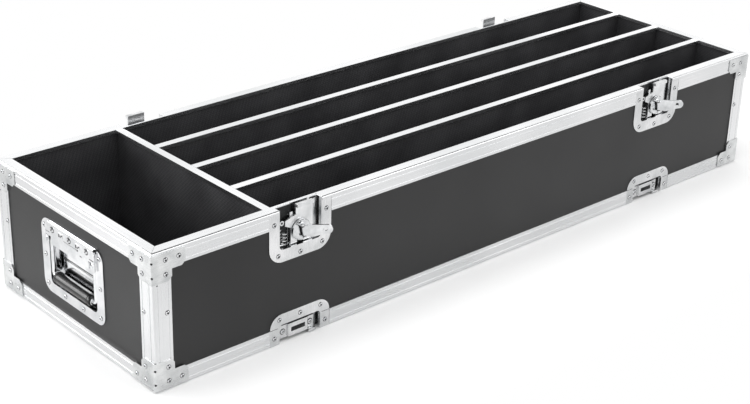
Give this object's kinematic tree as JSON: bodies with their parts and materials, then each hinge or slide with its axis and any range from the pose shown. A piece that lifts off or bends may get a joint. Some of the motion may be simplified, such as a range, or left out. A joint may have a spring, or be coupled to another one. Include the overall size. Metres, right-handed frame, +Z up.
{
  "type": "led bar flight case",
  "caption": "Long open flight case base with parallel bar slots, an accessory compartment, recessed butterfly latches, keepers and sprung end handles.",
  "frame": {"origin": "middle of the footprint, on the floor", "axes": "+X along the case, away from the accessory compartment; +Z up; the front looks along -Y"},
  "size_m": [1.2936, 0.4682, 0.224],
  "materials": {
    "aluminium_edge": "satin, fine lengthwise grooves",
    "zinc_plated_steel": "bright zinc plate",
    "chromed_steel": "polished",
    "laminated_ply": "black laminate on plywood, satin",
    "lining_foam": "black embossed foam",
    "divider_board": "plywood faced with black embossed foam",
    "grip_rubber": "smooth"
  },
  "bodies": {
    "case": {"front_panel": "laminated_ply", "back_panel": "laminated_ply", "left_panel": "laminated_ply", "right_panel": "laminated_ply", "floor_panel": "laminated_ply", "bottom_rail_front": "aluminium_edge", "rim_rail_front": "aluminium_edge", "bottom_rail_back": "aluminium_edge", "rim_rail_back": "aluminium_edge", "bottom_rail_left": "aluminium_edge", "rim_rail_left": "aluminium_edge", "bottom_rail_right": "aluminium_edge", "rim_rail_right": "aluminium_edge", "corner_post_front_left": "aluminium_edge", "corner_post_front_right": "aluminium_edge", "corner_post_back_right": "aluminium_edge", "corner_post_back_left": "aluminium_edge", "bottom_brace_front_left": "zinc_plated_steel", "top_brace_front_left": "zinc_plated_steel", "bottom_brace_front_right": "zinc_plated_steel", "top_brace_front_right": "zinc_plated_steel", "bottom_brace_back_right": "zinc_plated_steel", "top_brace_back_right": "zinc_plated_steel", "bottom_brace_back_left": "zinc_plated_steel", "top_brace_back_left": "zinc_plated_steel", "foam_lining": "lining_foam", "cross_wall": "divider_board", "cross_wall_cap": "aluminium_edge", "divider_1": "divider_board", "divider_cap_1": "aluminium_edge", "divider_2": "divider_board", "divider_cap_2": "aluminium_edge", "divider_3": "divider_board", "divider_cap_3": "aluminium_edge", "latch_dish_front_1": "zinc_plated_steel", "keeper_front_1": "zinc_plated_steel", "latch_dish_front_2": "zinc_plated_steel", "keeper_front_2": "zinc_plated_steel", "latch_dish_back_1": "zinc_plated_steel", "keeper_back_1": "zinc_plated_steel", "latch_dish_back_2": "zinc_plated_steel", "keeper_back_2": "zinc_plated_steel", "handle_dish_left": "zinc_plated_steel", "handle_dish_right": "zinc_plated_steel"},
    "hook_front_1": {"latch_hook_front_1": "zinc_plated_steel"},
    "spindle_front_1": {"latch_spindle_front_1": "chromed_steel"},
    "wing_front_1": {"latch_wing_front_1": "chromed_steel"},
    "hook_front_2": {"latch_hook_front_2": "zinc_plated_steel"},
    "spindle_front_2": {"latch_spindle_front_2": "chromed_steel"},
    "wing_front_2": {"latch_wing_front_2": "chromed_steel"},
    "hook_back_1": {"latch_hook_back_1": "zinc_plated_steel"},
    "spindle_back_1": {"latch_spindle_back_1": "chromed_steel"},
    "wing_back_1": {"latch_wing_back_1": "chromed_steel"},
    "hook_back_2": {"latch_hook_back_2": "zinc_plated_steel"},
    "spindle_back_2": {"latch_spindle_back_2": "chromed_steel"},
    "wing_back_2": {"latch_wing_back_2": "chromed_steel"},
    "bail_left": {"handle_bail_left": "chromed_steel", "handle_grip_left": "grip_rubber"},
    "bail_right": {"handle_bail_right": "chromed_steel", "handle_grip_right": "grip_rubber"}
  },
  "joints": [
    {"name": "spindle_turn_front_1", "type": "hinge", "parent": "case", "child": "spindle_front_1", "pos_m": [-0.387, -0.201, 0.171], "axis": [0, -1, 0], "range_deg": [0, 180]},
    {"name": "hook_slide_front_1", "type": "slide", "parent": "case", "child": "hook_front_1", "axis": [0, 0, 1], "range_m": [0, 0.013]},
    {"name": "wing_fold_front_1", "type": "hinge", "parent": "spindle_front_1", "child": "wing_front_1", "pos_m": [-0.387, -0.2036, 0.171], "axis": [0.2079, 0, -0.9781], "range_deg": [-45, 45]},
    {"name": "spindle_turn_front_2", "type": "hinge", "parent": "case", "child": "spindle_front_2", "pos_m": [0.393, -0.201, 0.171], "axis": [0, -1, 0], "range_deg": [0, 180]},
    {"name": "hook_slide_front_2", "type": "slide", "parent": "case", "child": "hook_front_2", "axis": [0, 0, 1], "range_m": [0, 0.013]},
    {"name": "wing_fold_front_2", "type": "hinge", "parent": "spindle_front_2", "child": "wing_front_2", "pos_m": [0.393, -0.2036, 0.171], "axis": [0.2079, 0, -0.9781], "range_deg": [-45, 45]},
    {"name": "spindle_turn_back_1", "type": "hinge", "parent": "case", "child": "spindle_back_1", "pos_m": [0.387, 0.201, 0.171], "axis": [0, 1, 0], "range_deg": [-180, 0]},
    {"name": "hook_slide_back_1", "type": "slide", "parent": "case", "child": "hook_back_1", "axis": [0, 0, 1], "range_m": [-0.013, 0]},
    {"name": "wing_fold_back_1", "type": "hinge", "parent": "spindle_back_1", "child": "wing_back_1", "pos_m": [0.387, 0.2036, 0.171], "axis": [0.2079, 0, 0.9781], "range_deg": [-45, 45]},
    {"name": "spindle_turn_back_2", "type": "hinge", "parent": "case", "child": "spindle_back_2", "pos_m": [-0.393, 0.201, 0.171], "axis": [0, 1, 0], "range_deg": [-180, 0]},
    {"name": "hook_slide_back_2", "type": "slide", "parent": "case", "child": "hook_back_2", "axis": [0, 0, 1], "range_m": [-0.013, 0]},
    {"name": "wing_fold_back_2", "type": "hinge", "parent": "spindle_back_2", "child": "wing_back_2", "pos_m": [-0.393, 0.2036, 0.171], "axis": [0.2079, 0, 0.9781], "range_deg": [-45, 45]},
    {"name": "bail_swing_left", "type": "hinge", "parent": "case", "child": "bail_left", "pos_m": [-0.6378, 0, 0.138], "axis": [0, 1, 0], "range_deg": [0, 90], "stiffness_Nm_per_rad": 0.4, "springref_deg": -20.05},
    {"name": "bail_swing_right", "type": "hinge", "parent": "case", "child": "bail_right", "pos_m": [0.6378, 0, 0.138], "axis": [0, -1, 0], "range_deg": [0, 90], "stiffness_Nm_per_rad": 0.4, "springref_deg": -20.05}
  ],
  "couplings": [
    {"joint": "spindle_turn_front_1", "follows": "hook_slide_front_1", "rad_per_m": 241.66},
    {"joint": "spindle_turn_front_2", "follows": "hook_slide_front_2", "rad_per_m": 241.66},
    {"joint": "spindle_turn_back_1", "follows": "hook_slide_back_1", "rad_per_m": 241.66},
    {"joint": "spindle_turn_back_2", "follows": "hook_slide_back_2", "rad_per_m": 241.66}
  ]
}
